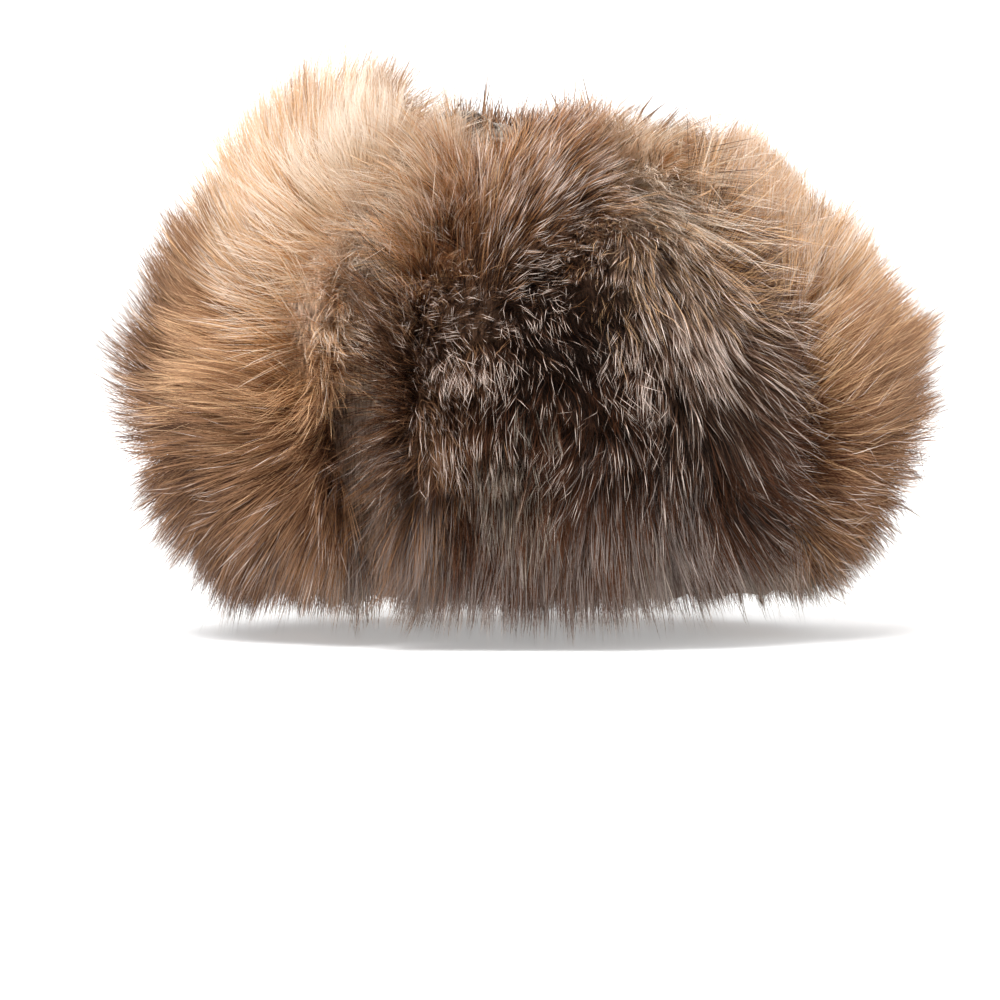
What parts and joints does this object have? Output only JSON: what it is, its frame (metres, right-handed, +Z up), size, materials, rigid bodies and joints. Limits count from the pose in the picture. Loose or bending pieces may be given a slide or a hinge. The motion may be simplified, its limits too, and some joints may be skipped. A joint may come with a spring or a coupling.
{
  "type": "fox fur aviator hat",
  "caption": "Winter hat of long fox fur with a cloth crown: the front flap, ear flaps and neck flap are turned up, and a ribbon ties the ear flaps over the crown.",
  "frame": {"origin": "middle of the hat's base, on the surface that it rests on", "axes": "+Z up through the crown, -Y towards the front flap, +X towards the wearer's left ear flap"},
  "size_m": [0.3342, 0.324, 0.2284],
  "materials": {
    "crown_cloth": "matte wool tweed",
    "ribbon": "matte woven ribbon",
    "front_fur": "long fox guard hair, dark brown with silvery tips",
    "side_fur": "long fox guard hair, golden with brown tips"
  },
  "bodies": {
    "root": {"crown": "crown_cloth", "tie_ribbon": "ribbon", "tie_knot": "ribbon", "front_flap": "front_fur", "ear_flap_left": "side_fur", "neck_flap": "side_fur", "ear_flap_right": "side_fur"}
  },
  "joints": []
}
